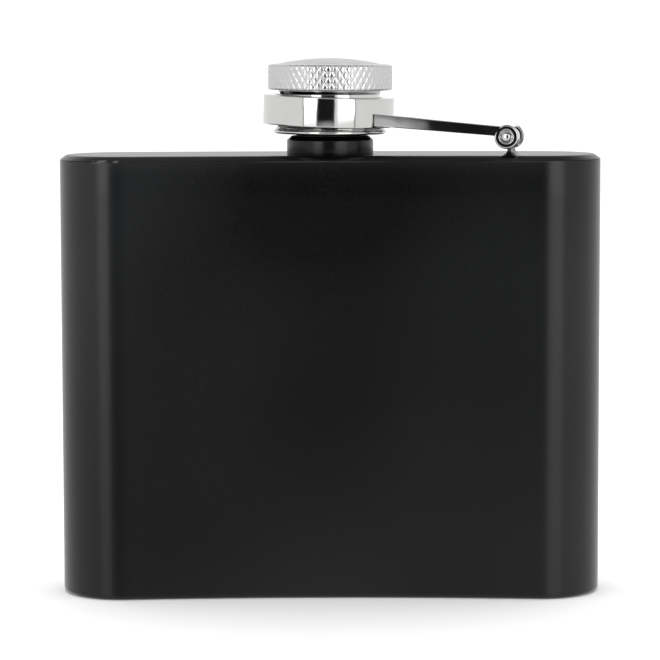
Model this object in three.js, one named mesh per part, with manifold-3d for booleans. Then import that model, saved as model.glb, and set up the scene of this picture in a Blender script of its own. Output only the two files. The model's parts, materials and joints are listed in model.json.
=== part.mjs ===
// A pocket hip flask with a captive screw cap. Millimetres, +Z up.
// The hollow side of the kidney-shaped body faces -Y. The neck stands on the Z axis, and the
// cap's hinge stands on the top plate towards +X and a little towards -Y.
import * as THREE from "three";
import Module from "manifold-3d";

const wasm = await Module();
wasm.setup();

const TURN = 2 * Math.PI;
const radians = THREE.MathUtils.degToRad;

// ---------------------------------------------------------------- driving sizes

const body = {
  width: 95,
  thickness: 23,
  endWidth: 10.7, // how much of the width each rounded end takes up
  bow: 1.7, // how far the middle of the section lies behind its two ends
  wall: 0.6,
  baseThickness: 0.8,
  baseRound: 0.8,
  wallTop: 76.5,
  top: 77.4,
  shoulder: 1.15,
};

// The threads overlap by one pitch in height when the cap is closed, so one turn frees it.
const thread = {
  pitch: 1.27,
  spoutRoot: 5.75,
  spoutCrest: 6.2,
  spoutLow: body.top + 6.9,
  spoutHigh: body.top + 9.2,
  capRoot: 7.35,
  capCrest: 6.9,
  capLow: body.top + 7.93,
  capHigh: body.top + 10.3,
};

const neck = {
  bore: 4.75,
  collarRadius: 7.6,
  collarTopRadius: 6.7,
  collarBore: 6.25,
  collarEdge: body.top + 2.45,
  collarTop: body.top + 3.2,
  rim: body.top + 9.75,
};

// The hinge's pin lies along "across", and the arms run along "along" in plan.
const hinge = {
  planAngle: radians(15),
  reach: 32.2, // from the neck's axis to the pin's
  pinZ: body.top + 3.25,
  pinRadius: 0.7,
  boreRadius: 0.78,
  eyeRadius: 2.1,
  knuckleRadius: 1.75,
  knuckleHalf: 1.8,
  eyeInner: 2.1,
  eyeOuter: 3.2,
  stemOffset: 0.3,
  stemThickness: 0.5,
};

const ring = {
  outer: 11.47,
  inner: 9.6,
  bottom: body.top + 5.0,
  top: body.top + 10.1,
  tilt: radians(2),
  shift: -0.25, // it hangs a little away from the hinge
};

// An arm's outer face runs straight from faceStart, beside the ring, to faceEnd, at its eye. Its
// foot reaches in to the ring between two angles round the ring.
const arm = {
  thickness: 1.1,
  ringGap: 0.06,
  faceStart: new THREE.Vector2(9.86, 6.26),
  faceEnd: new THREE.Vector2(30.78, hinge.eyeOuter),
  footStart: radians(31.8),
  footEnd: radians(20.5),
  footDepth: 1.9,
  ringSide: { along: 10.07, low: body.top + 5.05, high: body.top + 7.1 },
  hingeSide: { along: 30.84, low: hinge.pinZ + 0.12, high: hinge.pinZ + 1.85 },
};

const cap = {
  flangeBottom: neck.collarTop + 0.36,
  flangeRadius: 9.95,
  skirtRadius: 8.75,
  waistRadius: 9.1,
  bore: 8.05,
  knurlBottom: body.top + 11.2,
  knurlTop: body.top + 15.8,
  knurlRadius: 10.9,
  knurlDepth: 0.3,
  knurlTeeth: 56,
  knurlBore: 8.5,
  domeRadius: 8.9,
  apex: body.top + 16.77,
  skirtTop: body.top + 13.9,
  insertTop: body.top + 12.2,
  ceiling: neck.rim + 1.0, // the gasket fills the 1 mm between the rim and the ceiling
};

// ---------------------------------------------------------------- materials

const coated = () => new THREE.MeshStandardMaterial({ color: 0x1b1c1e, roughness: 0.5, metalness: 0.2 });
const polished = () => new THREE.MeshStandardMaterial({ color: 0xcfcfcd, roughness: 0.12, metalness: 1 });
const satin = () => new THREE.MeshStandardMaterial({ color: 0xb9bab8, roughness: 0.38, metalness: 1 });
const silicone = () => new THREE.MeshStandardMaterial({ color: 0xdcdcd6, roughness: 0.7, metalness: 0 });
const plastic = () => new THREE.MeshStandardMaterial({ color: 0x2b2b2c, roughness: 0.55, metalness: 0 });

// ---------------------------------------------------------------- geometry helpers

function closedGeometry(vertices, faces) {
  const geometry = new THREE.BufferGeometry();
  geometry.setAttribute("position", new THREE.Float32BufferAttribute(vertices.flat(), 3));
  geometry.setIndex(faces.flat());
  geometry.computeVertexNormals();
  return geometry;
}

function toManifold(geometry) {
  const vertProperties = new Float32Array(geometry.getAttribute("position").array);
  const triVerts = new Uint32Array(geometry.getIndex().array);
  return new wasm.Manifold(new wasm.Mesh({ numProp: 3, vertProperties, triVerts }));
}

function fromManifold(solid) {
  const mesh = solid.getMesh();
  const geometry = new THREE.BufferGeometry();
  geometry.setAttribute("position", new THREE.Float32BufferAttribute(mesh.vertProperties, 3));
  geometry.setIndex([...mesh.triVerts]);
  geometry.computeVertexNormals();
  return geometry;
}

// Revolves a profile of [radius, z] points about Z. The profile runs counter-clockwise with the
// radius to the right, and either starts and ends on the axis or closes on itself. adjust, where
// given, changes a point's radius by its place round the axis.
function revolve(profile, segments, adjust = (radius) => radius) {
  const onAxis = profile[0][0] === 0;
  const vertices = [];
  const faces = [];
  const at = profile.map(([radius, z], row) => {
    const first = vertices.length;
    const single = radius === 0;
    for (let i = 0; i < (single ? 1 : segments); i++) {
      const angle = (TURN * i) / segments;
      const r = single ? 0 : adjust(radius, z, i, row);
      vertices.push([r * Math.cos(angle), r * Math.sin(angle), z]);
    }
    return (i) => (single ? first : first + (i % segments));
  });
  const steps = onAxis ? profile.length - 1 : profile.length;
  for (let row = 0; row < steps; row++) {
    const low = at[row];
    const high = at[(row + 1) % profile.length];
    for (let i = 0; i < segments; i++) {
      if (low(i) !== low(i + 1)) faces.push([low(i), low(i + 1), high(i + 1)]);
      if (high(i) !== high(i + 1)) faces.push([low(i), high(i + 1), high(i)]);
    }
  }
  return closedGeometry(vertices, faces);
}

// Stacks outlines of equal length from the bottom up into one solid, with an optional straight
// hole through it.
function stack(layers, hole = []) {
  const vertices = [];
  const faces = [];
  const addRing = (outline, z) => {
    const first = vertices.length;
    outline.forEach((p) => vertices.push([p.x, p.y, z]));
    return first;
  };
  const join = (low, high, count, facesOut) => {
    for (let i = 0; i < count; i++) {
      const j = (i + 1) % count;
      const [a, b] = facesOut ? [i, j] : [j, i];
      faces.push([low + a, low + b, high + b], [low + a, high + b, high + a]);
    }
  };
  const count = layers[0].outline.length;
  const bottom = layers[0];
  const top = layers[layers.length - 1];
  const rings = layers.map(({ outline, z }) => addRing(outline, z));
  rings.slice(1).forEach((high, i) => join(rings[i], high, count, true));
  const holeLow = addRing(hole, bottom.z);
  const holeHigh = addRing(hole, top.z);
  join(holeLow, holeHigh, hole.length, false);

  const addCap = (layer, outer, inner, upwards) => {
    const points = [...layer.outline, ...hole];
    const index = (i) => (i < count ? outer + i : inner + i - count);
    for (const face of THREE.ShapeUtils.triangulateShape(layer.outline, hole.length ? [hole] : [])) {
      const [a, b, c] = face;
      const area = (points[b].x - points[a].x) * (points[c].y - points[a].y)
        - (points[c].x - points[a].x) * (points[b].y - points[a].y);
      const turned = area > 0 === upwards ? [a, b, c] : [a, c, b];
      faces.push(turned.map(index));
    }
  };
  addCap(bottom, rings[0], holeLow, false);
  addCap(top, rings[rings.length - 1], holeHigh, true);
  return closedGeometry(vertices, faces);
}

function circle(radius, segments) {
  return Array.from({ length: segments }, (_, i) => {
    const angle = (TURN * i) / segments;
    return new THREE.Vector2(radius * Math.cos(angle), radius * Math.sin(angle));
  });
}

// The body's kidney outline, counter-clockwise from above and drawn in by inset: two arcs about
// one centre, joined by rounded ends.
function kidney(inset) {
  const reach = body.width / 2 - body.endWidth;
  const arcRadius = (reach ** 2 + body.bow ** 2) / (2 * body.bow);
  const centreY = body.bow / 2 - arcRadius;
  const half = Math.asin(reach / arcRadius);
  const r = body.thickness / 2 - inset;
  const points = [];
  const addArc = (x, y, radiusX, radiusY, from, to, steps) => {
    for (let i = 0; i < steps; i++) {
      const angle = from + ((to - from) * i) / steps;
      points.push(new THREE.Vector2(x + radiusX * Math.cos(angle), y + radiusY * Math.sin(angle)));
    }
  };
  const quarter = Math.PI / 2;
  const endY = centreY + arcRadius * Math.cos(half);
  const endX = body.endWidth - inset;
  addArc(0, centreY, arcRadius - r, arcRadius - r, quarter + half, quarter - half, 16);
  addArc(reach, endY, endX, r, -quarter - half, quarter - half, 24);
  addArc(0, centreY, arcRadius + r, arcRadius + r, quarter - half, quarter + half, 16);
  addArc(-reach, endY, endX, r, quarter + half, 3 * quarter + half, 24);
  return points;
}

// A point on the top of the flask, from its place along the arms and across them.
function plan(along, across) {
  const c = Math.cos(hinge.planAngle);
  const s = Math.sin(hinge.planAngle);
  return new THREE.Vector2(along * c + across * s, across * c - along * s);
}

// Turns a solid built about Z so that Z becomes the pin's direction, and moves it to the pin.
function toPin(geometry) {
  const d = plan(1, 0);
  const n = plan(0, 1);
  const centre = plan(hinge.reach, 0);
  const place = new THREE.Matrix4().makeBasis(
    new THREE.Vector3(d.x, d.y, 0),
    new THREE.Vector3(0, 0, -1),
    new THREE.Vector3(n.x, n.y, 0),
  );
  place.setPosition(centre.x, centre.y, hinge.pinZ);
  return geometry.applyMatrix4(place);
}

function rod(radius, from, to, segments = 32) {
  return toPin(revolve([[0, from], [radius, from], [radius, to], [0, to]], segments));
}

// Height of a triangular thread with a rounded root, 0 to 1, faded out at both ends.
function threadHeight(z, turn, low, high) {
  const phase = (((z / thread.pitch - turn) % 1) + 1) % 1;
  const tooth = Math.max(0, 1 - Math.abs(phase - 0.5) / 0.42);
  const fade = Math.min(1, Math.max(0, (z - low) / 0.5), Math.max(0, (high - z) / 0.5));
  return tooth * fade;
}

function rows(low, high, count) {
  return Array.from({ length: count + 1 }, (_, i) => low + ((high - low) * i) / count);
}

// ---------------------------------------------------------------- the body

function bodyWall() {
  return stack(
    [
      { z: body.baseThickness, outline: kidney(0) },
      { z: body.wallTop, outline: kidney(0) },
    ],
    kidney(body.wall),
  );
}

function basePlate() {
  const steps = 4;
  const layers = Array.from({ length: steps + 1 }, (_, i) => {
    const angle = (Math.PI / 2) * (i / steps);
    return {
      z: body.baseRound * (1 - Math.cos(angle)),
      outline: kidney(body.baseRound * (1 - Math.sin(angle))),
    };
  });
  return stack(layers);
}

function topPlate() {
  return stack(
    [
      { z: body.wallTop, outline: kidney(0) },
      { z: body.top, outline: kidney(body.shoulder) },
    ],
    circle(neck.bore, 48),
  );
}

// ---------------------------------------------------------------- the neck

function neckCollar() {
  return revolve(
    [
      [neck.collarBore, body.top],
      [neck.collarRadius, body.top],
      [neck.collarRadius, neck.collarEdge],
      [neck.collarTopRadius, neck.collarTop],
      [neck.collarBore, neck.collarTop],
    ],
    56,
  );
}

function threadedSpout() {
  const { spoutLow: low, spoutHigh: high } = thread;
  const segments = 40;
  const profile = [
    [neck.bore, body.top],
    [thread.spoutCrest - 0.05, body.top],
    [thread.spoutCrest - 0.05, neck.collarTop],
    [thread.spoutRoot, neck.collarTop + 0.3],
    ...rows(low, high, 14).map((z) => [thread.spoutRoot, z]),
    [thread.spoutRoot, neck.rim - 0.15],
    [thread.spoutRoot - 0.15, neck.rim],
    [neck.bore + 0.15, neck.rim],
    [neck.bore, neck.rim - 0.15],
  ];
  const depth = thread.spoutCrest - thread.spoutRoot;
  return revolve(profile, segments, (radius, z, i) =>
    radius === thread.spoutRoot ? radius + depth * threadHeight(z, i / segments, low, high) : radius);
}

// ---------------------------------------------------------------- the hinge

function hingePost() {
  const half = hinge.knuckleHalf;
  const stemLow = body.top - hinge.pinZ;
  const left = hinge.reach + hinge.stemOffset - hinge.stemThickness / 2;
  const right = left + hinge.stemThickness;
  const foot = [plan(left, -half), plan(right, -half), plan(right, half), plan(left, half)];
  const stem = stack([
    { z: hinge.pinZ + stemLow, outline: foot },
    { z: hinge.pinZ - hinge.boreRadius - 0.3, outline: foot },
  ]);
  const knuckle = toManifold(rod(hinge.knuckleRadius, -half, half));
  const bore = toManifold(rod(hinge.boreRadius, -half - 1, half + 1));
  return fromManifold(knuckle.add(toManifold(stem)).subtract(bore));
}

function hingePin() {
  const end = hinge.eyeOuter + 0.25;
  const r = hinge.pinRadius;
  return toPin(revolve(
    [[0, -end], [r * 0.6, -end], [r, -end + 0.15], [r, end - 0.15], [r * 0.6, end], [0, end]],
    32,
  ));
}

// Pairs of points in plan (along, across), one on an arm's outer face and one on its inner face,
// from its foot beside the ring to the hinge.
function armStations() {
  const { thickness, faceStart, faceEnd, footStart, footEnd, footDepth } = arm;
  const length = faceStart.distanceTo(faceEnd);
  const way = faceEnd.clone().sub(faceStart).divideScalar(length);
  const out = new THREE.Vector2(-way.y, way.x);
  const radius = ring.outer + arm.ringGap;
  const stations = [];
  for (const angle of rows(footStart, footEnd, 5)) {
    const inner = new THREE.Vector2(radius * Math.cos(angle) + ring.shift, radius * Math.sin(angle));
    const depth = out.dot(faceStart.clone().sub(inner));
    stations.push({ outer: inner.clone().addScaledVector(out, depth), inner });
  }
  const taper = 0.8; // the foot narrows to the arm's own thickness over this length
  for (const distance of [2.6, 2.6 + taper, length + 0.35]) {
    const outer = faceStart.clone().addScaledVector(way, distance);
    const depth = distance > 2.6 ? thickness : footDepth;
    stations.push({ outer, inner: outer.clone().addScaledVector(out, -depth) });
  }
  return stations;
}

function armSolid(side) {
  const { ringSide, hingeSide } = arm;
  const vertices = [];
  const faces = [];
  const height = (along, edge) => {
    const share = (along - ringSide.along) / (hingeSide.along - ringSide.along);
    return ringSide[edge] + (hingeSide[edge] - ringSide[edge]) * share;
  };
  armStations().forEach(({ outer, inner }, i) => {
    for (const [point, edge] of [[inner, "low"], [outer, "low"], [outer, "high"], [inner, "high"]]) {
      const p = plan(point.x, side * point.y);
      vertices.push([p.x, p.y, height(outer.x, edge)]);
    }
    if (i === 0) return;
    for (let k = 0; k < 4; k++) {
      const a = 4 * (i - 1) + k;
      const b = 4 * (i - 1) + ((k + 1) % 4);
      faces.push([a, b, b + 4], [a, b + 4, a + 4]);
    }
  });
  const last = vertices.length - 4;
  faces.push([0, 2, 1], [0, 3, 2], [last, last + 1, last + 2], [last, last + 2, last + 3]);
  if (side < 0) faces.forEach((face) => face.reverse());
  const bar = toManifold(closedGeometry(vertices, faces));
  const near = Math.min(side * hinge.eyeInner, side * hinge.eyeOuter);
  const far = Math.max(side * hinge.eyeInner, side * hinge.eyeOuter);
  const eye = toManifold(rod(hinge.eyeRadius, near, far));
  const bore = toManifold(rod(hinge.boreRadius, near - 1, far + 1));
  return fromManifold(bar.add(eye).subtract(bore));
}

// ---------------------------------------------------------------- the ring and the cap

function retainingRing() {
  const edge = 0.2;
  const middle = (ring.bottom + ring.top) / 2;
  const low = ring.bottom - middle;
  const high = ring.top - middle;
  const geometry = revolve(
    [
      [ring.inner, low],
      [ring.outer - edge, low],
      [ring.outer, low + edge],
      [ring.outer, high - edge],
      [ring.outer - edge, high],
      [ring.inner, high],
    ],
    72,
  );
  const pinWay = plan(0, 1);
  const centre = plan(ring.shift, 0);
  const tilt = new THREE.Matrix4().makeRotationAxis(new THREE.Vector3(pinWay.x, pinWay.y, 0), ring.tilt);
  tilt.setPosition(centre.x, centre.y, middle);
  return geometry.applyMatrix4(tilt);
}

function capSkirt() {
  const z = cap.flangeBottom;
  return revolve(
    [
      [cap.bore, z],
      [cap.flangeRadius - 0.3, z],
      [cap.flangeRadius, z + 0.24],
      [cap.flangeRadius, z + 0.46],
      [cap.flangeRadius - 0.25, z + 0.66],
      [cap.skirtRadius, z + 0.94],
      [cap.skirtRadius, cap.knurlBottom - 0.7],
      [cap.waistRadius, cap.knurlBottom - 0.1],
      [cap.waistRadius, cap.knurlBottom],
      [cap.knurlBore - 0.05, cap.knurlBottom],
      [cap.knurlBore - 0.05, cap.skirtTop],
      [cap.bore - 0.85, cap.skirtTop],
      [cap.bore - 0.85, cap.insertTop],
      [cap.bore, cap.insertTop],
    ],
    56,
  );
}

// Diamond knurling: the rows of the outer wall rise and fall by turns round the ring, and each
// row starts on the other foot.
function capKnurledRing() {
  const low = cap.knurlBottom + 0.35;
  const high = cap.knurlTop - 0.4;
  const profile = [
    [cap.knurlBore, cap.knurlBottom],
    [cap.knurlRadius - 0.8, cap.knurlBottom],
    ...rows(low, high, 4).map((z) => [cap.knurlRadius, z]),
    [cap.knurlRadius - 0.7, cap.knurlTop - 0.15],
    [cap.domeRadius + 0.05, cap.knurlTop],
    [cap.knurlBore, cap.knurlTop],
  ];
  return revolve(profile, 2 * cap.knurlTeeth, (radius, z, i, row) =>
    radius === cap.knurlRadius && (i + row) % 2 ? radius - cap.knurlDepth : radius);
}

function capCrown() {
  const rise = cap.apex - cap.knurlTop;
  const dome = (share) => [cap.domeRadius * share, cap.knurlTop + rise * (1 - share ** 2)];
  const shell = 0.7;
  const rim = cap.knurlBore - 0.05;
  return revolve(
    [
      [0, cap.apex - shell],
      [rim - 2, cap.knurlTop - 0.2],
      [rim - 0.9, cap.knurlTop - 0.5],
      [rim - 0.9, cap.skirtTop],
      [rim, cap.skirtTop],
      [rim, cap.knurlTop],
      ...rows(1, 0, 6).map(dome),
    ],
    56,
  );
}

function threadInsert() {
  const { capLow: low, capHigh: high } = thread;
  const segments = 40;
  const depth = thread.capRoot - thread.capCrest;
  const profile = [
    [0, cap.ceiling],
    [thread.capRoot, cap.ceiling],
    ...rows(high, low, 14).map((z) => [thread.capRoot, z]),
    [thread.capRoot, cap.flangeBottom + 1.1],
    [thread.capRoot + 0.25, cap.flangeBottom + 0.8],
    [cap.bore - 0.05, cap.flangeBottom + 0.8],
    [cap.bore - 0.05, cap.insertTop],
    [0, cap.insertTop],
  ];
  return revolve(profile, segments, (radius, z, i) =>
    radius === thread.capRoot ? radius - depth * threadHeight(z, i / segments, low, high) : radius);
}

function capGasket() {
  return revolve(
    [
      [neck.bore - 0.15, neck.rim],
      [thread.capCrest - 0.15, neck.rim],
      [thread.capCrest - 0.15, cap.ceiling],
      [neck.bore - 0.15, cap.ceiling],
    ],
    48,
  );
}

// ---------------------------------------------------------------- the flask

const flask = new THREE.Group();
flask.name = "hip_flask";

function addPart(name, geometry, material) {
  const mesh = new THREE.Mesh(geometry, material);
  mesh.name = name;
  flask.add(mesh);
}

addPart("body_wall", bodyWall(), coated());
addPart("base_plate", basePlate(), coated());
addPart("top_plate", topPlate(), coated());
addPart("neck_collar", neckCollar(), coated());
addPart("threaded_spout", threadedSpout(), satin());
addPart("hinge_post", hingePost(), polished());
addPart("hinge_pin", hingePin(), polished());
addPart("arm_front", armSolid(-1), polished());
addPart("arm_rear", armSolid(1), polished());
addPart("retaining_ring", retainingRing(), polished());
addPart("cap_skirt", capSkirt(), polished());
addPart("cap_knurled_ring", capKnurledRing(), satin());
addPart("cap_crown", capCrown(), satin());
addPart("thread_insert", threadInsert(), plastic());
addPart("cap_gasket", capGasket(), silicone());

export default flask;
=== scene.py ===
import json
import math

import bpy
import numpy as np
from mathutils import Matrix, Vector


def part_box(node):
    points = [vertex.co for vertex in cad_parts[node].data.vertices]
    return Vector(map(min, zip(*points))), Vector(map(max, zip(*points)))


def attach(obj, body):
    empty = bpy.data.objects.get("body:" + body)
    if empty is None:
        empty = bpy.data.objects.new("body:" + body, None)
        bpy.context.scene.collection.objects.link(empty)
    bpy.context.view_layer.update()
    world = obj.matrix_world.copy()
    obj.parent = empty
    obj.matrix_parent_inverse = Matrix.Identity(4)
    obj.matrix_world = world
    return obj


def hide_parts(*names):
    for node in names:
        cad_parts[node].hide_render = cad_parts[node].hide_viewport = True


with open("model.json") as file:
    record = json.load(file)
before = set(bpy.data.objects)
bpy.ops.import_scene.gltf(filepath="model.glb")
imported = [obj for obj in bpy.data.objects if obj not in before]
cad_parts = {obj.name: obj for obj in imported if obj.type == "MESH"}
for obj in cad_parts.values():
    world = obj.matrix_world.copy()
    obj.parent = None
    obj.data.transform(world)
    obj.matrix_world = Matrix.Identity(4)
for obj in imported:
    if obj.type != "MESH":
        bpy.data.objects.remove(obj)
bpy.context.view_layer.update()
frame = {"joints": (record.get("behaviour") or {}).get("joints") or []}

MM = 0.001
TURN = 2 * math.pi
SAME = 0.001 * MM  # two radii nearer than this are one


# ---------------------------------------------------------------- sizes of the pieces

def low(node):
    return Vector(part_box(node)[0])


def high(node):
    return Vector(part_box(node)[1])


def radius_of(node):
    """Half the width of a round CAD node that stands on the Z axis."""
    return (high(node).x - low(node).x) / 2


FLOOR_Z = low("base_plate").z
BASE_TOP = low("body_wall").z
WALL_TOP = high("body_wall").z
PLATE_TOP = high("top_plate").z
BODY_HALF_WIDTH = (high("body_wall").x - low("body_wall").x) / 2
BODY_DEPTH = high("body_wall").y - low("body_wall").y
BOW = 1.7 * MM  # how far the middle of the body's section lies behind its ends
SECTION = BODY_DEPTH - BOW - 0.01 * MM  # the thickness, a hair less than in CAD
END_WIDTH = 10.7 * MM  # how much of the width each rounded end takes up
WALL = 0.6 * MM
BASE_ROUND = 0.8 * MM
SHOULDER = 1.15 * MM

NECK_BORE = 4.75 * MM
COLLAR_RADIUS = radius_of("neck_collar")
COLLAR_TOP = high("neck_collar").z
SPOUT_CREST = radius_of("threaded_spout")
SPOUT_ROOT = SPOUT_CREST - 0.45 * MM
SPOUT_RIM = high("threaded_spout").z
SPOUT_THREAD = (PLATE_TOP + 6.9 * MM, PLATE_TOP + 9.2 * MM)
PITCH = 1.27 * MM
THREAD_STEPS = 30

FLANGE_RADIUS = radius_of("cap_skirt")
FLANGE_BOTTOM = low("cap_skirt").z
SKIRT_RADIUS = 8.75 * MM
SKIRT_TOP = high("cap_skirt").z
WAIST_RADIUS = 9.1 * MM
CAP_BORE = 8.05 * MM
CAP_LEAN = math.radians(0.45)
CAP_DROP = 0.005 * MM  # how much lower than in CAD the leaning cap sits
PRESS_GAP = 0.05 * MM  # between the cap's pieces where one is pressed into the other
KNURL_RADIUS = radius_of("cap_knurled_ring")
KNURL_BOTTOM = low("cap_knurled_ring").z
KNURL_TOP = high("cap_knurled_ring").z
KNURL_BORE = 8.5 * MM
KNURL_TEETH = 56
KNURL_STEPS = 12  # mesh steps from one tooth to the next
KNURL_RISE = 2.07 * MM  # how far a groove climbs from one tooth to the next
KNURL_DEPTH = 0.12 * MM
KNURL_CROSSING = 0.55 * MM  # how high above the ring's bottom a row of grooves crosses
KNURL_START = 0.25  # where round the ring the grooves start, as a share of a tooth
KNURL_GROOVE = 0.38  # a groove's width, as a share of a tooth
DOME_RADIUS = radius_of("cap_crown")
APEX = high("cap_crown").z
INSERT_TOP = high("thread_insert").z
INSERT_BOTTOM = low("thread_insert").z
INSERT_ROOT = 7.35 * MM
INSERT_CREST = 6.9 * MM
INSERT_THREAD = (PLATE_TOP + 7.93 * MM, PLATE_TOP + 10.3 * MM)
GASKET_RADIUS = radius_of("cap_gasket")
GASKET_BORE = 4.6 * MM
GASKET_BOTTOM = low("cap_gasket").z
GASKET_TOP = high("cap_gasket").z
TIP_RADIUS = 0.02 * MM  # the flat left on the axis of a solid turned piece

SWING = next(joint for joint in frame["joints"] if joint["name"] == "cap_swing")
PIN = Vector(SWING["pos_m"])
ACROSS = Vector(SWING["axis"]).normalized()  # along the hinge pin
ALONG = ACROSS.cross(Vector((0, 0, 1)))  # from the neck towards the hinge
REACH = PIN.dot(ALONG)
PIN_RADIUS = 0.7 * MM
PIN_BORE = 0.78 * MM  # the holes it turns in
PIN_DOME = 0.22 * MM  # how far its peened ends bulge
PIN_PROUD = 0.25 * MM  # how far they stand out of the eyes
KNUCKLE_RADIUS = 1.75 * MM
POST_HALF_WIDTH = 1.8 * MM
POST_HALF_THICKNESS = 0.25 * MM
POST_SHIFT = 0.3 * MM  # how far beyond the pin, from the neck, the post's strip stands
EYE_RADIUS = 2.1 * MM
EYE_INNER = 2.1 * MM  # how far from the pin's middle an eye's inner face lies
EYE_OUTER = 3.2 * MM

RING_RADIUS = (high("retaining_ring").y - low("retaining_ring").y) / 2
RING_BORE = 9.6 * MM
RING_MIDDLE = (high("retaining_ring").z + low("retaining_ring").z) / 2
RING_HEIGHT = 5.1 * MM
RING_TILT = math.radians(2)
RING_SHIFT = -0.25 * MM  # how far the ring hangs from the neck's axis, towards the hinge

# An arm's outer face, in plan, runs straight from its start at the ring to its end at the eye. The
# pairs are (along, across): distances from the neck towards the hinge and along the pin.
ARM_START = Vector((10.1 * MM, 6.22 * MM))
ARM_END = Vector((REACH - 1.42 * MM, EYE_OUTER))
ARM_THICKNESS = 1.1 * MM
FOOT_BEARINGS = (math.radians(31.8), math.radians(20.5))  # where an arm's foot meets the ring
FOOT_GAP = 0.06 * MM
REAR_ARM_DROP = 0.45 * MM  # how much lower the rear arm's top edge is


# ---------------------------------------------------------------- mesh helpers
# A part is a pair of lists, (verts, faces). A profile is a list of (radius, z) pairs.

def spread(start, end, count):
    """Values from start to end in the given number of even steps."""
    return [start + (end - start) * i / count for i in range(count + 1)]


def smooth_step(value, start, end):
    """0 before start and 1 after end, with a smooth rise between them."""
    t = min(1.0, max(0.0, (value - start) / (end - start)))
    return t * t * (3 - 2 * t)


def loft(rings, closed=False):
    """A part from rings of equal length, joined one to the next. A closed part joins its last ring
    to its first, and any other has both end rings filled."""
    count = len(rings[0])
    verts = [tuple(p) for ring in rings for p in ring]
    faces = []
    steps = len(rings) if closed else len(rings) - 1
    for row in range(steps):
        a = row * count
        b = (row + 1) % len(rings) * count
        for i in range(count):
            j = (i + 1) % count
            faces.append((a + i, a + j, b + j, b + i))
    if not closed:
        last = (len(rings) - 1) * count
        faces.append(tuple(reversed(range(count))))
        faces.append(tuple(last + i for i in range(count)))
    return verts, faces


def round_ring(radius, z, count, adjust=None):
    points = []
    for i in range(count):
        angle = TURN * i / count
        r = adjust(radius, z, angle) if adjust else radius
        points.append((r * math.cos(angle), r * math.sin(angle), z))
    return points


def revolved(profile, count=128, closed=True, adjust=None):
    """A part turned about Z from a profile that runs counter-clockwise, with the radius to the
    right. Adjust may change the radius of each point."""
    return loft([round_ring(r, z, count, adjust) for r, z in profile], closed)


def only_at(chosen, change):
    """An adjust function for revolved that changes the points at the chosen radius."""
    def adjust(radius, z, angle):
        if abs(radius - chosen) > SAME:
            return radius
        return radius + change(z, angle)
    return adjust


def eased(profile, bevel, steps=3):
    """A closed profile with each corner rounded off over the given length."""
    most = 0.45  # of a side, so that the bevels at its two ends never meet
    rounded = []
    for i, corner in enumerate(profile):
        here = np.array(corner)
        before = np.array(profile[i - 1]) - here
        after = np.array(profile[(i + 1) % len(profile)]) - here
        reach = min(bevel, most * np.linalg.norm(before), most * np.linalg.norm(after))
        first = here + before / np.linalg.norm(before) * reach
        last = here + after / np.linalg.norm(after) * reach
        for t in spread(0, 1, steps):
            point = (1 - t) ** 2 * first + 2 * t * (1 - t) * here + t ** 2 * last
            rounded.append(tuple(point))
    return rounded


def joined(*parts):
    """Several parts as one."""
    verts, faces = [], []
    for part_verts, part_faces in parts:
        shift = len(verts)
        verts += part_verts
        faces += [tuple(shift + i for i in face) for face in part_faces]
    return verts, faces


def placed(part, matrix):
    verts, faces = part
    return [tuple(matrix @ Vector(v)) for v in verts], faces


def new_object(name, part, material):
    verts, faces = part
    mesh = bpy.data.meshes.new(name)
    mesh.from_pydata(verts, [], faces)
    mesh.materials.append(material)
    made = bpy.data.objects.new(name, mesh)
    bpy.context.scene.collection.objects.link(made)
    return made


def add_piece(name, part, material, body, *nodes, sharp=35):
    """A piece of the flask that rides on a CAD body and stands for the named CAD nodes. Edges that
    turn by more than the sharp angle, in degrees, stay crisp."""
    piece = new_object(name, part, material)
    piece.data.validate()
    piece.data.shade_smooth()
    piece.data.set_sharp_from_angle(angle=math.radians(sharp))
    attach(piece, body)
    if nodes:
        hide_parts(*nodes)


# ---------------------------------------------------------------- node helpers

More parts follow.
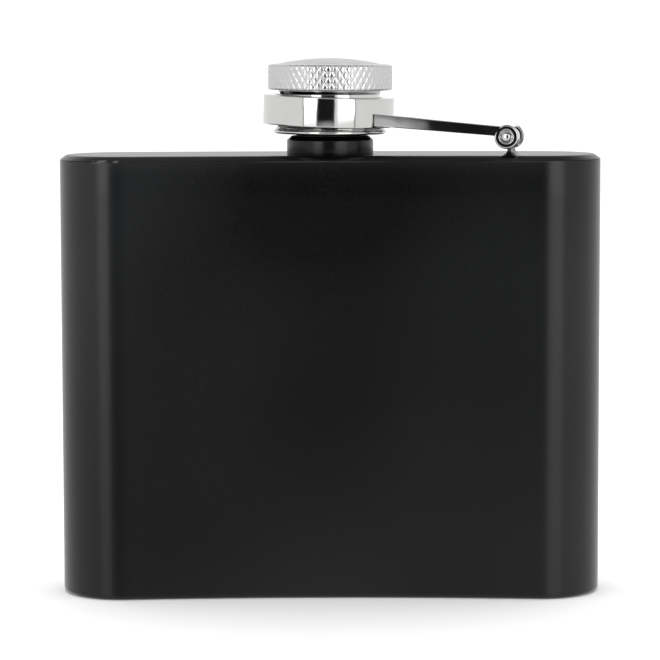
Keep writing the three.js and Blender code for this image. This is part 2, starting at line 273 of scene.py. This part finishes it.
class Nodes:
    """Short names for making and joining the shader nodes of one material or world."""

    def __init__(self, tree):
        self.tree = tree

    def add(self, kind, **values):
        node = self.tree.nodes.new("ShaderNode" + kind)
        for name, value in values.items():
            setattr(node, name, value)
        return node

    def link(self, source, target):
        self.tree.links.new(source, target)

    def feed(self, socket, value):
        """Sets a socket to a plain value, or links another node's output to it."""
        if isinstance(value, (tuple, int, float)):
            socket.default_value = value
        else:
            self.link(value, socket)

    def split(self, vector):
        """The X, Y and Z of a vector."""
        node = self.add("SeparateXYZ")
        self.link(vector, node.inputs["Vector"])
        return [node.outputs[axis] for axis in "XYZ"]

    def noise(self, vector, scale, detail=3.0, roughness=0.55):
        node = self.add("TexNoise")
        node.inputs["Scale"].default_value = scale
        node.inputs["Detail"].default_value = detail
        node.inputs["Roughness"].default_value = roughness
        self.link(vector, node.inputs["Vector"])
        return node.outputs["Fac"]

    def stretched(self, vector, x, y, z):
        node = self.add("Mapping")
        node.inputs["Scale"].default_value = (x, y, z)
        self.link(vector, node.inputs["Vector"])
        return node.outputs["Vector"]

    def span(self, value, from_low, from_high, to_low, to_high):
        """The value carried over from one range to another, and held at its ends."""
        node = self.add("MapRange", clamp=True)
        for name, number in (("From Min", from_low), ("From Max", from_high),
                             ("To Min", to_low), ("To Max", to_high)):
            node.inputs[name].default_value = number
        self.link(value, node.inputs["Value"])
        return node.outputs["Result"]

    def between(self, value, start, end, blur):
        """1 where the value lies between start and end, falling to 0 over the blur on each side."""
        rising = self.span(value, start - blur, start + blur, 0, 1)
        falling = self.span(value, end - blur, end + blur, 1, 0)
        return self.math("MULTIPLY", rising, falling)

    def math(self, operation, a, b):
        node = self.add("Math", operation=operation)
        for socket, value in zip(node.inputs, (a, b)):
            self.feed(socket, value)
        return node.outputs["Value"]

    def mix(self, factor, a, b):
        """The colour a where the factor is 0, and b where it is 1."""
        node = self.add("Mix", data_type="RGBA")
        first, second, result = node.inputs[6], node.inputs[7], node.outputs[2]  # the colour sockets
        self.feed(node.inputs["Factor"], factor)
        self.feed(first, a)
        self.feed(second, b)
        return result

    def bump(self, height, strength, distance):
        node = self.add("Bump")
        node.inputs["Strength"].default_value = strength
        node.inputs["Distance"].default_value = distance
        self.link(height, node.inputs["Height"])
        return node.outputs["Normal"]


def new_material(name, metallic=0.0, ior=1.5):
    """A new material, its nodes, its shader and the place in the object's own coordinates."""
    material = bpy.data.materials.new(name)
    material.use_nodes = True
    shader = material.node_tree.nodes["Principled BSDF"]
    shader.inputs["Metallic"].default_value = metallic
    shader.inputs["IOR"].default_value = ior
    nodes = Nodes(material.node_tree)
    place = nodes.add("TexCoord").outputs["Object"]
    return material, nodes, shader, place


def dress(nodes, shader, colour, roughness, normal):
    nodes.link(colour, shader.inputs["Base Color"])
    nodes.link(roughness, shader.inputs["Roughness"])
    nodes.link(normal, shader.inputs["Normal"])


def grey(value, warmth=0.0):
    return (value * (1 + warmth), value, value * (1 - warmth), 1)


# ---------------------------------------------------------------- materials

def painted_seam_highlight(nodes, place, z):
    """Where the painted highlight of the seam lies: in patches along the line between the wall and
    the top plate.
    """
    seam = nodes.between(z, WALL_TOP - 0.12 * MM, WALL_TOP + 0.02 * MM, 0.03 * MM)
    patches = nodes.span(nodes.noise(place, 60, 2), 0.45, 0.6, 0, 1)
    return nodes.math("MULTIPLY", seam, patches)


def shoulder_rubs(nodes, place, x, y, z):
    """Small rubs to bare metal on the front edge of the left shoulder."""
    side = nodes.between(x, -41.0 * MM, -36.4 * MM, 0.2 * MM)
    edge = nodes.between(z, WALL_TOP - 0.2 * MM, WALL_TOP + 0.25 * MM, 0.08 * MM)
    front = nodes.span(y, -8.0 * MM, -7.5 * MM, 1, 0)
    patch = nodes.math("MULTIPLY", nodes.math("MULTIPLY", side, edge), front)
    scratches = nodes.noise(nodes.stretched(place, 0.5, 0.5, 2.5), 1500, 2)
    return nodes.math("MULTIPLY", patch, nodes.span(scratches, 0.48, 0.60, 0, 1))


def powder_coat():
    """Fine matte black coating with slight changes of tone."""
    material, nodes, shader, place = new_material("powder_coat", ior=1.38)
    x, y, z = nodes.split(place)
    cloud = nodes.span(nodes.noise(place, 20, 1), 0.35, 0.65, 0, 1)
    colour = nodes.mix(cloud, grey(0.0018, -0.10), grey(0.0085, -0.08))
    # Painted highlight: a lighter grey in patches along the seam, standing in for the light that the
    # seam's edge catches.
    colour = nodes.mix(painted_seam_highlight(nodes, place, z), colour, grey(0.035, -0.02))
    colour = nodes.mix(shoulder_rubs(nodes, place, x, y, z), colour, grey(0.11))
    grain = nodes.noise(place, 2600, 4, 0.6)
    roughness = nodes.span(grain, 0.3, 0.7, 0.20, 0.28)
    dress(nodes, shader, colour, roughness, nodes.bump(grain, 0.12, 0.02 * MM))
    return material


def polished_steel():
    """Mirror-bright steel with a faint haze and ripple."""
    material, nodes, shader, place = new_material("polished_steel", metallic=1.0)
    haze = nodes.noise(place, 260, 3)
    colour = nodes.mix(haze, grey(0.60, 0.012), grey(0.65, 0.006))
    roughness = nodes.span(haze, 0.3, 0.7, 0.05, 0.10)
    ripple = nodes.noise(place, 190, 1)
    dress(nodes, shader, colour, roughness, nodes.bump(ripple, 0.8, 0.12 * MM))
    return material


def satin_steel(name="satin_steel", tone=0.64, rough=0.34):
    """Turned steel with fine lines round its axis."""
    material, nodes, shader, place = new_material(name, metallic=1.0)
    cloud = nodes.noise(place, 300, 3)
    colour = nodes.mix(cloud, grey(tone * 0.94), grey(tone * 1.04, 0.005))
    roughness = nodes.span(cloud, 0.3, 0.7, rough - 0.05, rough + 0.05)
    lines = nodes.noise(nodes.stretched(place, 1, 1, 60), 160, 4)
    dress(nodes, shader, colour, roughness, nodes.bump(lines, 0.08, 0.02 * MM))
    return material


def knurled_steel():
    return satin_steel("knurled_steel", tone=0.63, rough=0.27)


def grained(name, scale, dark, light, smooth, rough):
    """A soft material that isn't metal, with one fine grain in its tone, roughness and surface."""
    material, nodes, shader, place = new_material(name)
    grain = nodes.noise(place, scale, 3)
    colour = nodes.mix(grain, dark, light)
    roughness = nodes.span(grain, 0.3, 0.7, smooth, rough)
    dress(nodes, shader, colour, roughness, nodes.bump(grain, 0.1, 0.02 * MM))
    return material


def moulded_plastic():
    return grained("moulded_plastic", 1500, grey(0.020), grey(0.032), 0.45, 0.6)


def gasket_silicone():
    return grained("gasket_silicone", 700, grey(0.62, 0.02), grey(0.74, 0.03), 0.55, 0.7)


BLACK = powder_coat()
MIRROR = polished_steel()
SATIN = satin_steel()
KNURLED = knurled_steel()
PLASTIC = moulded_plastic()
SILICONE = gasket_silicone()


# ---------------------------------------------------------------- the body

def kidney(inset):
    """The body's outline in plan, counter-clockwise from above, drawn in by inset."""
    half_section = SECTION / 2
    reach = BODY_HALF_WIDTH - END_WIDTH
    arc_radius = (reach ** 2 + BOW ** 2) / (2 * BOW)
    centre_y = BOW / 2 - arc_radius
    lean = math.asin(reach / arc_radius)
    end_y = centre_y + arc_radius * math.cos(lean)
    r = half_section - inset
    quarter = math.pi / 2
    front, back, end = arc_radius - r, arc_radius + r, END_WIDTH - inset
    long_steps, end_steps = 48, 72
    arcs = (
        (0, centre_y, front, front, quarter + lean, quarter - lean, long_steps),
        (reach, end_y, end, r, -quarter - lean, quarter - lean, end_steps),
        (0, centre_y, back, back, quarter - lean, quarter + lean, long_steps),
        (-reach, end_y, end, r, quarter + lean, 3 * quarter + lean, end_steps),
    )
    points = []
    for x, y, radius_x, radius_y, start, stop, steps in arcs:
        for angle in spread(start, stop, steps)[:-1]:
            points.append((x + radius_x * math.cos(angle), y + radius_y * math.sin(angle)))
    return points


def outline_ring(inset, z):
    return [(x, y, z) for x, y in kidney(inset)]


def bore_ring(z):
    """The neck's hole with one point for each point of the outline, in the same direction."""
    ring = []
    for x, y in kidney(SHOULDER):
        angle = math.atan2(y, x)
        ring.append((NECK_BORE * math.cos(angle), NECK_BORE * math.sin(angle), z))
    return ring


def make_wall():
    edge = 0.12 * MM
    outer = [outline_ring(0, z) for z in spread(BASE_TOP, WALL_TOP - edge, 12)]
    lip = [outline_ring(edge * 0.3, WALL_TOP - edge * 0.3), outline_ring(edge, WALL_TOP)]
    inner = [outline_ring(WALL, WALL_TOP), outline_ring(WALL, BASE_TOP)]
    add_piece("wall", loft(outer + lip + inner, closed=True), BLACK, "flask", "body_wall")


def make_base():
    rings = []
    for angle in spread(0, math.pi / 2, 8):
        inset = BASE_ROUND * (1 - math.sin(angle))
        rings.append(outline_ring(inset, FLOOR_Z + BASE_ROUND * (1 - math.cos(angle))))
    add_piece("base", loft(rings), BLACK, "flask", "base_plate")


def make_top():
    """The lid plate: a small groove at the seam, a shoulder that levels out, and the neck's hole."""
    seam = 0.12 * MM
    rise = PLATE_TOP - WALL_TOP
    rings = [
        outline_ring(seam, WALL_TOP),
        outline_ring(seam * 0.4, WALL_TOP + seam),
        outline_ring(SHOULDER * 0.55, WALL_TOP + rise * 0.6),
        outline_ring(SHOULDER * 0.85, WALL_TOP + rise * 0.87),
        outline_ring(SHOULDER * 1.1, PLATE_TOP - rise * 0.02),
        outline_ring(SHOULDER * 1.35, PLATE_TOP),
        bore_ring(PLATE_TOP),
        bore_ring(WALL_TOP),
    ]
    add_piece("top", loft(rings, closed=True), BLACK, "flask", "top_plate")


# ---------------------------------------------------------------- the neck

def thread_height(z, angle, thread):
    """0 at a thread's root and 1 at its crest, running out at both ends of the thread's span."""
    half_tooth = 0.42  # as a share of the pitch
    flank = 0.75  # how much of the half tooth is slope
    start, end = thread
    phase = (z / PITCH - angle / TURN) % 1
    tooth = smooth_step(1 - abs(phase - 0.5) / half_tooth, 0.0, flank)
    return tooth * smooth_step(min(z - start, end - z), 0, 0.5 * MM)


def make_collar():
    chamfer_width = 0.9 * MM
    chamfer_height = 0.75 * MM
    bore = SPOUT_CREST + 0.05 * MM
    profile = eased([
        (bore, PLATE_TOP),
        (COLLAR_RADIUS, PLATE_TOP),
        (COLLAR_RADIUS, COLLAR_TOP - chamfer_height),
        (COLLAR_RADIUS - chamfer_width, COLLAR_TOP),
        (bore, COLLAR_TOP),
    ], 0.12 * MM)
    add_piece("collar", revolved(profile), BLACK, "flask", "neck_collar")


def make_spout():
    plain = SPOUT_CREST - 0.05 * MM  # the part inside the collar
    profile = [
        (NECK_BORE, PLATE_TOP),
        (plain, PLATE_TOP),
        (plain, COLLAR_TOP),
        (SPOUT_ROOT, COLLAR_TOP + 0.3 * MM),
        *((SPOUT_ROOT, z) for z in spread(*SPOUT_THREAD, THREAD_STEPS)),
        (SPOUT_ROOT, SPOUT_RIM - 0.2 * MM),
        (SPOUT_ROOT - 0.06 * MM, SPOUT_RIM - 0.06 * MM),
        (SPOUT_ROOT - 0.2 * MM, SPOUT_RIM),
        (NECK_BORE + 0.2 * MM, SPOUT_RIM),
        (NECK_BORE + 0.06 * MM, SPOUT_RIM - 0.06 * MM),
        (NECK_BORE, SPOUT_RIM - 0.2 * MM),
    ]

    def thread(z, angle):
        return (SPOUT_CREST - SPOUT_ROOT) * thread_height(z, angle, SPOUT_THREAD)

    part = revolved(profile, 96, adjust=only_at(SPOUT_ROOT, thread))
    add_piece("spout", part, SATIN, "flask", "threaded_spout")


# ---------------------------------------------------------------- the hinge

# Takes a part built about Z to the pin: Z becomes the pin's direction.
TO_PIN = Matrix.Translation(PIN) @ Matrix((ALONG, Vector((0, 0, -1)), ACROSS)).transposed().to_4x4()


def on_plan(along, across, z):
    return tuple(ALONG * along + ACROSS * across + Vector((0, 0, z)))


def strip_on_plate(half_along, half_across, top, spread_out=0.0, steps=1):
    """An upright strip under the hinge pin, with its foot spread out where it is a weld bead."""
    middle = REACH + POST_SHIFT
    rings = []
    for share in spread(0, 1, steps):
        grow = spread_out * (1 - share) ** 4
        rings.append([
            on_plan(middle + sx * (half_along + grow), sy * (half_across + grow),
                    PLATE_TOP + (top - PLATE_TOP) * share)
            for sx, sy in ((-1, -1), (1, -1), (1, 1), (-1, 1))
        ])
    return loft(rings)


def make_weld():
    """The coated weld bead round the post's foot, a little larger than the post all round."""
    cover = 0.05 * MM
    top = PIN.z - 1.72 * MM
    spread_out = 0.8 * MM
    half_along, half_across = POST_HALF_THICKNESS + cover, POST_HALF_WIDTH + cover
    bead = strip_on_plate(half_along, half_across, top, spread_out, steps=8)
    add_piece("post_weld", bead, BLACK, "flask", sharp=60)


def make_post():
    half = POST_HALF_WIDTH
    knuckle = revolved(eased([
        (PIN_BORE, -half), (KNUCKLE_RADIUS, -half), (KNUCKLE_RADIUS, half), (PIN_BORE, half),
    ], 0.1 * MM), 64)
    strip = strip_on_plate(POST_HALF_THICKNESS, half, PIN.z - PIN_BORE - 0.3 * MM)
    add_piece("post", joined(placed(knuckle, TO_PIN), strip), MIRROR, "flask", "hinge_post")


def make_pin():
    end = EYE_OUTER + PIN_PROUD
    dome = [(TIP_RADIUS, -end)]
    for share in spread(0, 1, 5)[1:]:
        angle = share * math.pi / 2
        dome.append((PIN_RADIUS * math.sin(angle), -end + PIN_DOME * (1 - math.cos(angle))))
    profile = dome + [(r, -z) for r, z in reversed(dome)]
    add_piece("pin", placed(revolved(profile, 48, closed=False), TO_PIN), MIRROR, "pin", "hinge_pin")


def arm_stations():
    """Where one arm's outer and inner faces lie in plan, as (along, across) pairs from the ring to
    the hinge. Its outer face is straight, and its foot fills the space beside the ring."""
    taper, taper_depth = 2.6 * MM, 1.9 * MM  # a place where the foot is narrowing
    narrow = 3.4 * MM  # where it has narrowed to the arm's own thickness
    into_eye = 0.35 * MM
    way = (ARM_END - ARM_START).normalized()
    side = Vector((-way.y, way.x))
    radius = RING_RADIUS + FOOT_GAP
    stations = []
    for angle in spread(*FOOT_BEARINGS, 10):
        inner = Vector((radius * math.cos(angle) + RING_SHIFT, radius * math.sin(angle)))
        stations.append((inner + side * side.dot(ARM_START - inner), inner))
    stations.append((ARM_START + way * taper, ARM_START + way * taper - side * taper_depth))
    for distance in spread(narrow, (ARM_END - ARM_START).length + into_eye, 12):
        outer = ARM_START + way * distance
        stations.append((outer, outer - side * ARM_THICKNESS))
    return stations


def arm_edges(along):
    """The heights of an arm's lower and upper edges, which run straight from near the ring to
    near the eye."""
    near, far = 10.07 * MM, 30.84 * MM
    near_bottom, near_top = PLATE_TOP + 5.05 * MM, PLATE_TOP + 7.1 * MM
    far_bottom, far_top = PIN.z + 0.12 * MM, PIN.z + 1.85 * MM
    share = (along - near) / (far - near)
    bottom = near_bottom + (far_bottom - near_bottom) * share
    top = near_top + (far_top - near_top) * share
    return bottom, top


def arm_bar(side):
    """One arm's bar, with small bevels along its edges. Side is -1 in front and 1 at the rear.
    Near the ring its outer face is drawn in towards the lower edge, and then it turns upright."""
    corner = 0.12 * MM
    turning, upright = 11 * MM, 24 * MM
    rings = []
    for outer, inner in arm_stations():
        deep = (outer - inner).normalized() * corner
        bottom, top = arm_edges(outer.x)
        if side > 0:
            top -= REAR_ARM_DROP
        lean = 1 - smooth_step(outer.x, turning, upright)
        section = [
            (inner, bottom + corner), (inner + deep, bottom), (outer - deep * 2.2, bottom),
            (outer - deep * (1.3 * lean + 0.1), bottom + corner),
            (outer - deep * 0.58 * lean, (bottom + top) / 2), (outer - deep * 0.04, top - corner),
            (outer - deep, top), (inner + deep, top), (inner, top - corner),
        ]
        rings.append([on_plan(p.x, side * p.y, z) for p, z in section])
    verts, faces = loft(rings)
    if side < 0:
        faces = [tuple(reversed(face)) for face in faces]
    return verts, faces


def arm_eye(side):
    """The eye at one arm's end, with a recess round the pin in its outer face."""
    face = side * EYE_OUTER
    back = side * EYE_INNER
    sink = side * 0.3 * MM
    profile = [
        (PIN_BORE, back), (EYE_RADIUS, back), (EYE_RADIUS, face - 1.2 * sink),
        (EYE_RADIUS - 0.06 * MM, face - 0.5 * sink), (EYE_RADIUS - 0.22 * MM, face),
        (1.2 * MM, face), (1.05 * MM, face - sink), (PIN_BORE, face - sink),
    ]
    if side < 0:
        profile.reverse()
    verts, faces = revolved(eased(profile, 0.08 * MM), 72)
    # The arm meets the pin at a slant, so the eye's outer half is sheared into the arm's plane.
    slope = (ARM_END.y - ARM_START.y) / (ARM_END.x - ARM_START.x)
    middle = (face + back) / 2
    for i, (x, y, z) in enumerate(verts):
        if side * z > side * middle:
            verts[i] = (x, y, z + side * slope * (x + REACH - ARM_END.x))
    return placed((verts, faces), TO_PIN)


def make_arm(name, side, node):
    add_piece(name, joined(arm_bar(side), arm_eye(side)), MIRROR, "arm", node)


# ---------------------------------------------------------------- the ring and the cap

def make_ring():
    half = RING_HEIGHT / 2
    profile = eased([
        (RING_BORE, -half), (RING_RADIUS, -half), (RING_RADIUS, half), (RING_BORE, half),
    ], 0.2 * MM, 4)
    tilt = Matrix.Rotation(RING_TILT, 4, ACROSS)
    centre = ALONG * RING_SHIFT + Vector((0, 0, RING_MIDDLE))
    part = placed(revolved(profile, 192), Matrix.Translation(centre) @ tilt)
    add_piece("ring", part, MIRROR, "arm", "retaining_ring")


def seated(part):
    """A part of the cap, leaning a little in its thread as the real one does."""
    pivot = Matrix.Translation((0, 0, SPOUT_RIM - CAP_DROP))
    lean = Matrix.Rotation(CAP_LEAN, 4, "Y")
    return placed(part, pivot @ lean @ Matrix.Translation((0, 0, -SPOUT_RIM)))


def make_skirt():
    """The flared foot, the plain waist inside the ring and the step under the knurled ring."""
    z = FLANGE_BOTTOM
    inner = CAP_BORE - 0.85 * MM
    profile = eased([
        (CAP_BORE, z),
        (FLANGE_RADIUS - 0.3 * MM, z),
        (FLANGE_RADIUS, z + 0.2 * MM),
        (FLANGE_RADIUS, z + 0.48 * MM),
        (FLANGE_RADIUS - 0.2 * MM, z + 0.66 * MM),
        (FLANGE_RADIUS - 0.5 * MM, z + 0.9 * MM),
        (FLANGE_RADIUS - 0.7 * MM, z + 1.3 * MM),
        (SKIRT_RADIUS, z + 1.8 * MM),
        (SKIRT_RADIUS, KNURL_BOTTOM - 0.7 * MM),
        (WAIST_RADIUS, KNURL_BOTTOM - 0.1 * MM),
        (WAIST_RADIUS, KNURL_BOTTOM),
        (KNURL_BORE - PRESS_GAP, KNURL_BOTTOM),
        (KNURL_BORE - PRESS_GAP, SKIRT_TOP),
        (inner, SKIRT_TOP),
        (inner, INSERT_TOP),
        (CAP_BORE, INSERT_TOP),
    ], 0.12 * MM)
    add_piece("skirt", seated(revolved(profile, 160)), MIRROR, "cap", "cap_skirt")


def knurl_cut(z, angle):
    """How deep the crossed grooves are at a place on the knurled band: 0 on the diamonds' flats
    and 1 at the bottom of a groove."""
    around = angle / TURN * KNURL_TEETH + KNURL_START
    climb = (z - KNURL_BOTTOM - KNURL_CROSSING) / KNURL_RISE
    nearest = 1.0
    for way in (1, -1):
        phase = (around + way * climb) % 1
        nearest = min(nearest, 2 * min(phase, 1 - phase))
    return 1 - min(1.0, nearest / KNURL_GROOVE)


def make_knurled_ring():
    start = KNURL_BOTTOM + 0.2 * MM
    end = KNURL_TOP - 0.36 * MM
    levels = spread(start, end, round((end - start) / KNURL_RISE * KNURL_STEPS))
    profile = [
        (KNURL_BORE, KNURL_BOTTOM),
        (KNURL_RADIUS - 0.34 * MM, KNURL_BOTTOM),
        (KNURL_RADIUS - 0.16 * MM, KNURL_BOTTOM + 0.05 * MM),
        *((KNURL_RADIUS, z) for z in levels),
        (KNURL_RADIUS - 0.34 * MM, KNURL_TOP - 0.2 * MM),
        (KNURL_RADIUS - 0.9 * MM, KNURL_TOP - 0.08 * MM),
        (DOME_RADIUS + 0.06 * MM, KNURL_TOP),
        (KNURL_BORE, KNURL_TOP),
    ]

    def grooves(z, angle):
        return -KNURL_DEPTH * knurl_cut(z, angle)

    part = revolved(profile, KNURL_TEETH * KNURL_STEPS, adjust=only_at(KNURL_RADIUS, grooves))
    add_piece("knurled_ring", seated(part), KNURLED, "cap", "cap_knurled_ring", sharp=60)


def make_crown():
    """The low dome, with a rim that goes down inside the knurled ring."""
    rise = APEX - KNURL_TOP
    rim = KNURL_BORE - PRESS_GAP
    shell = 0.7 * MM
    profile = [
        (TIP_RADIUS, APEX - shell),
        (rim - 2 * MM, KNURL_TOP - 0.2 * MM),
        (rim - 0.9 * MM, KNURL_TOP - 0.5 * MM),
        (rim - 0.9 * MM, SKIRT_TOP),
        (rim, SKIRT_TOP),
        (rim, KNURL_TOP),
    ]
    for share in spread(1, 0.003, 24):
        profile.append((DOME_RADIUS * share, KNURL_TOP + rise * (1 - share ** 2)))
    add_piece("crown", seated(revolved(profile, 160, closed=False)), SATIN, "cap", "cap_crown")


def make_insert():
    start, end = INSERT_THREAD
    profile = [
        (TIP_RADIUS, GASKET_TOP),
        (INSERT_ROOT, GASKET_TOP),
        *((INSERT_ROOT, z) for z in spread(end, start, THREAD_STEPS)),
        (INSERT_ROOT, INSERT_BOTTOM + 0.3 * MM),
        (INSERT_ROOT + 0.25 * MM, INSERT_BOTTOM),
        (CAP_BORE - PRESS_GAP, INSERT_BOTTOM),
        (CAP_BORE - PRESS_GAP, INSERT_TOP),
        (TIP_RADIUS, INSERT_TOP),
    ]

    def thread(z, angle):
        return (INSERT_CREST - INSERT_ROOT) * thread_height(z, angle, INSERT_THREAD)

    part = revolved(profile, 96, closed=False, adjust=only_at(INSERT_ROOT, thread))
    add_piece("insert", seated(part), PLASTIC, "cap", "thread_insert")


def make_gasket():
    profile = eased([
        (GASKET_BORE, GASKET_BOTTOM), (GASKET_RADIUS, GASKET_BOTTOM),
        (GASKET_RADIUS, GASKET_TOP), (GASKET_BORE, GASKET_TOP),
    ], 0.2 * MM)
    add_piece("gasket", revolved(profile), SILICONE, "seal", "cap_gasket")


# ---------------------------------------------------------------- the studio

# What glossy surfaces mirror. Bearings are in degrees, 0 towards the camera and more to the right.
# Heights are the Z of a direction, 0 level and 1 straight up.
DARK_GAP = (-20.5, 11.5)
SOFTBOXES = ((-44.5, -21.5), (45.5, 17.0))  # each one's outer and inner edge
SOFTBOX_FRAME = 2.2  # the width of the dark frame on its outer edge


def make_floor():
    material, nodes, shader, place = new_material("floor")
    speckle = nodes.noise(place, 30, 2)
    nodes.link(nodes.mix(speckle, grey(0.90), grey(0.92)), shader.inputs["Base Color"])
    shader.inputs["Roughness"].default_value = 0.8
    shader.inputs["Specular IOR Level"].default_value = 0.2
    reach = 40
    corners = [(-reach, -reach, 0), (reach, -reach, 0), (reach, reach, 0), (-reach, reach, 0)]
    floor = new_object("floor", (corners, [(0, 1, 2, 3)]), material)
    floor.visible_glossy = False  # the room's own picture has the floor that the metal mirrors


def mirrored_room(nodes, bearing, height):
    """A white room with a dark gap in front, a softbox on each side of the gap, a grey ceiling and
    a grey floor."""
    ceiling = nodes.span(height, 0.5, 0.8, 0, 1)
    room = nodes.mix(ceiling, grey(0.98), grey(0.30))
    gap = nodes.mix(nodes.span(height, -0.12, -0.20, 0, 1), grey(0.010), grey(0.66))
    gap = nodes.mix(nodes.span(height, 0.32, 0.45, 0, 1), gap, room)
    softbox = nodes.mix(nodes.span(height, -0.02, -0.17, 0, 1), grey(2.7), grey(1.1))
    softbox = nodes.mix(ceiling, softbox, grey(0.30))
    room = nodes.mix(nodes.between(bearing, *DARK_GAP, 0.8), room, gap)
    for outside, inside in SOFTBOXES:
        edge = sorted((outside, outside + math.copysign(SOFTBOX_FRAME, outside)))
        room = nodes.mix(nodes.between(bearing, *edge, 0.3), room, grey(0.25))
        room = nodes.mix(nodes.between(bearing, *sorted((outside, inside)), 0.3), room, softbox)
    return room


def make_world():
    """Even white light, with the mirrored room in place of it for glossy surfaces."""
    world = bpy.data.worlds.new("studio")
    bpy.context.scene.world = world
    world.use_nodes = True
    nodes = Nodes(world.node_tree)
    x, y, height = nodes.split(nodes.add("TexCoord").outputs["Generated"])
    turn = nodes.math("ARCTAN2", x, nodes.math("MULTIPLY", y, -1.0))
    bearing = nodes.math("MULTIPLY", turn, 360 / TURN)
    glossy = nodes.add("LightPath").outputs["Is Glossy Ray"]
    picture = nodes.mix(glossy, grey(1.3), mirrored_room(nodes, bearing, height))
    nodes.link(picture, world.node_tree.nodes["Background"].inputs["Color"])


def make_overhead_light():
    light = bpy.data.lights.new("overhead", "AREA")
    light.shape = "RECTANGLE"
    light.size = light.size_y = 1.0
    light.energy = 2
    place = Vector((0, 0.1, 0.9))
    lamp = bpy.data.objects.new("overhead", light)
    lamp.location = place
    lamp.rotation_euler = (-place).to_track_quat("-Z", "Y").to_euler()
    lamp.visible_camera = False
    lamp.visible_glossy = False
    bpy.context.scene.collection.objects.link(lamp)


def make_camera():
    """A long lens, a little above the flask's top and tilted down."""
    place = (-0.0001, -0.530, 0.0995)
    tilt, roll = math.radians(5.745), math.radians(-0.14)
    camera = bpy.data.objects.new("camera", bpy.data.cameras.new("camera"))
    camera.data.lens = 164.05
    camera.data.sensor_width = 36
    camera.data.clip_start = 0.01
    camera.data.clip_end = 200
    turn = Matrix.Rotation(math.pi / 2 - tilt, 4, "X") @ Matrix.Rotation(roll, 4, "Z")
    camera.matrix_world = Matrix.Translation(place) @ turn
    bpy.context.scene.collection.objects.link(camera)
    bpy.context.scene.camera = camera


make_wall()
make_base()
make_top()
make_collar()
make_spout()
make_weld()
make_post()
make_pin()
make_arm("front_arm", -1, "arm_front")
make_arm("rear_arm", 1, "arm_rear")
make_ring()
make_skirt()
make_knurled_ring()
make_crown()
make_insert()
make_gasket()
make_floor()
make_world()
make_overhead_light()
make_camera()
bpy.context.scene.view_settings.view_transform = "Standard"
